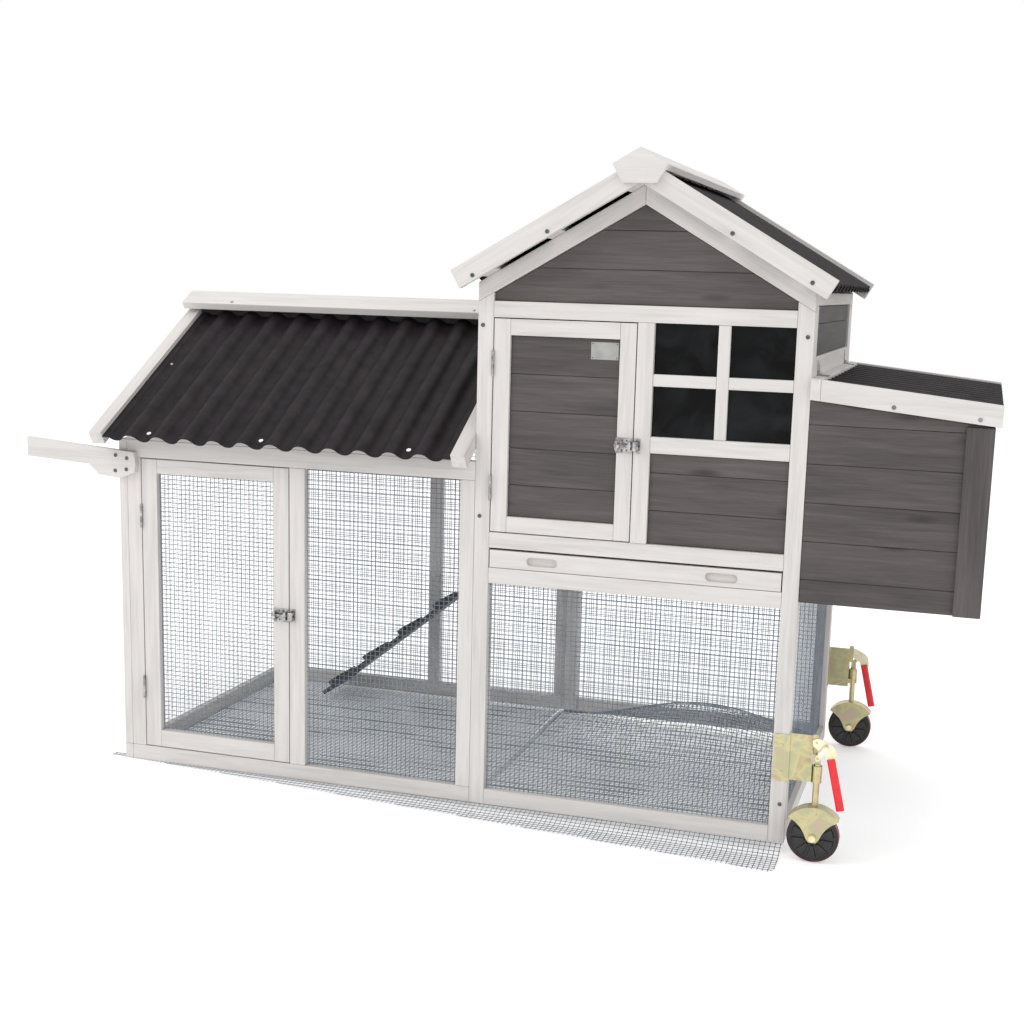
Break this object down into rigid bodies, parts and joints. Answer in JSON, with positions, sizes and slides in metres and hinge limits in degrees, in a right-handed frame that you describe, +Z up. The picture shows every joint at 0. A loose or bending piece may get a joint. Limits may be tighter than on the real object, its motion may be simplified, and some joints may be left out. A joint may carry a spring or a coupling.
{
  "type": "movable chicken coop",
  "caption": "Raised timber hen house with gabled mesh run, ramp, hinged nest box, doors, pull-out tray, and wheels lowered by levers for moving it.",
  "frame": {"origin": "centre of the bounding box's footprint, at the bottom of the lowered wheels", "axes": "+X along the coop from the run's carry handles to the nest box, +Y from the doors to the back, +Z up"},
  "size_m": [2.557, 1.16, 1.6846],
  "materials": {
    "white_timber": "painted matt",
    "grey_boards": "painted satin",
    "roof_timber": "painted matt",
    "hidden_timber": "sawn",
    "roof_sheet": "satin",
    "window_pane": "clear",
    "coated_wire": "coated",
    "tray_metal": "satin",
    "bright_steel": "satin",
    "door_plate": "satin",
    "yellow_zinc": "yellow zinc",
    "red_grip": "satin",
    "wheel_black": "satin",
    "wheel_red": "satin"
  },
  "bodies": {
    "coop": {"house_front_frame": "white_timber", "house_back_frame": "white_timber", "house_side_rails": "white_timber", "run_front_frame": "white_timber", "run_back_frame": "white_timber", "run_end_frame": "white_timber", "run_barge_boards": "white_timber", "window_muntins": "white_timber", "nest_corner_trims": "white_timber", "carry_handles": "white_timber", "front_wall_boards": "grey_boards", "back_wall_boards": "grey_boards", "side_wall_boards": "grey_boards", "nest_box_shell": "grey_boards", "pop_door_runners": "grey_boards", "house_barge_boards": "roof_timber", "ridge_caps": "roof_timber", "roof_purlins": "hidden_timber", "ramp": "hidden_timber", "perch": "hidden_timber", "house_roof_sheets": "roof_sheet", "run_roof_sheets": "roof_sheet", "window_pane": "window_pane", "run_wire_mesh": "coated_wire", "house_wire_mesh": "coated_wire", "floor_wire_mesh": "coated_wire", "apron_mesh": "coated_wire", "hinge_fixed_leaves": "bright_steel", "latch_keepers": "bright_steel", "frame_bolts": "bright_steel", "front_wheel_bracket": "yellow_zinc", "rear_wheel_bracket": "yellow_zinc"},
    "run_door": {"run_door_frame": "white_timber", "run_door_mesh": "coated_wire", "run_door_fittings": "bright_steel"},
    "run_bolt": {"run_door_bolt": "bright_steel"},
    "house_door": {"house_door_frame": "white_timber", "house_door_boards": "grey_boards", "house_door_plate": "door_plate", "house_door_fittings": "bright_steel"},
    "house_bolt": {"house_door_bolt": "bright_steel"},
    "tray": {"tray_front": "white_timber", "tray_pan": "tray_metal"},
    "nest_lid": {"nest_lid_frame": "white_timber", "nest_lid_sheet": "roof_sheet", "nest_lid_fittings": "bright_steel"},
    "pop_slide": {"pop_door": "grey_boards"},
    "front_plunger": {"front_wheel_plunger": "yellow_zinc"},
    "front_wheel": {"front_wheel_hub": "wheel_black", "front_wheel_tread": "wheel_red"},
    "front_lever": {"front_wheel_lever": "yellow_zinc", "front_wheel_grip": "red_grip"},
    "front_link": {"front_wheel_link": "yellow_zinc"},
    "rear_plunger": {"rear_wheel_plunger": "yellow_zinc"},
    "rear_wheel": {"rear_wheel_hub": "wheel_black", "rear_wheel_tread": "wheel_red"},
    "rear_lever": {"rear_wheel_lever": "yellow_zinc", "rear_wheel_grip": "red_grip"},
    "rear_link": {"rear_wheel_link": "yellow_zinc"}
  },
  "joints": [
    {"name": "run_door_hinge", "type": "hinge", "parent": "coop", "child": "run_door", "pos_m": [-0.93495, -0.454, 0.4705], "axis": [0, 0, -1], "range_deg": [0, 105]},
    {"name": "run_bolt_slide", "type": "slide", "parent": "run_door", "child": "run_bolt", "axis": [1, 0, 0], "range_m": [0, 0.016]},
    {"name": "house_door_hinge", "type": "hinge", "parent": "coop", "child": "house_door", "pos_m": [0.06175, -0.454, 1.0155], "axis": [0, 0, -1], "range_deg": [0, 100]},
    {"name": "house_bolt_slide", "type": "slide", "parent": "house_door", "child": "house_bolt", "axis": [1, 0, 0], "range_m": [0, 0.016]},
    {"name": "tray_slide", "type": "slide", "parent": "coop", "child": "tray", "axis": [0, -1, 0], "range_m": [0, 0.7]},
    {"name": "nest_lid_hinge", "type": "hinge", "parent": "coop", "child": "nest_lid", "pos_m": [0.849, 0.019, 1.175], "axis": [0, -1, 0], "range_deg": [0, 70]},
    {"name": "pop_door_slide", "type": "slide", "parent": "coop", "child": "pop_slide", "axis": [0, 1, 0], "range_m": [0, 0.171]},
    {"name": "front_plunger_slide", "type": "slide", "parent": "coop", "child": "front_plunger", "axis": [0, 0, 1], "range_m": [0, 0.029]},
    {"name": "front_wheel_spin", "type": "hinge", "parent": "front_plunger", "child": "front_wheel", "pos_m": [0.9165, -0.468, 0.0635], "axis": [0, 1, 0], "continuous": true},
    {"name": "front_lever_hinge", "type": "hinge", "parent": "coop", "child": "front_lever", "pos_m": [0.9115, -0.468, 0.2975], "axis": [0, -1, 0], "range_deg": [0, 101]},
    {"name": "front_link_hinge", "type": "hinge", "parent": "front_plunger", "child": "front_link", "pos_m": [0.9165, -0.468, 0.2605], "axis": [0, -1, 0], "range_deg": [0, 33]},
    {"name": "rear_plunger_slide", "type": "slide", "parent": "coop", "child": "rear_plunger", "axis": [0, 0, 1], "range_m": [0, 0.029]},
    {"name": "rear_wheel_spin", "type": "hinge", "parent": "rear_plunger", "child": "rear_wheel", "pos_m": [0.9165, 0.506, 0.0635], "axis": [0, 1, 0], "continuous": true},
    {"name": "rear_lever_hinge", "type": "hinge", "parent": "coop", "child": "rear_lever", "pos_m": [0.9115, 0.506, 0.2975], "axis": [0, -1, 0], "range_deg": [0, 101]},
    {"name": "rear_link_hinge", "type": "hinge", "parent": "rear_plunger", "child": "rear_link", "pos_m": [0.9165, 0.506, 0.2605], "axis": [0, -1, 0], "range_deg": [0, 33]}
  ],
  "couplings": [
    {"joint": "front_lever_hinge", "follows": "front_plunger_slide", "rad_per_m": 60.184},
    {"joint": "front_link_hinge", "follows": "front_plunger_slide", "rad_per_m": 19.319},
    {"joint": "rear_lever_hinge", "follows": "rear_plunger_slide", "rad_per_m": 60.184},
    {"joint": "rear_link_hinge", "follows": "rear_plunger_slide", "rad_per_m": 19.319}
  ]
}
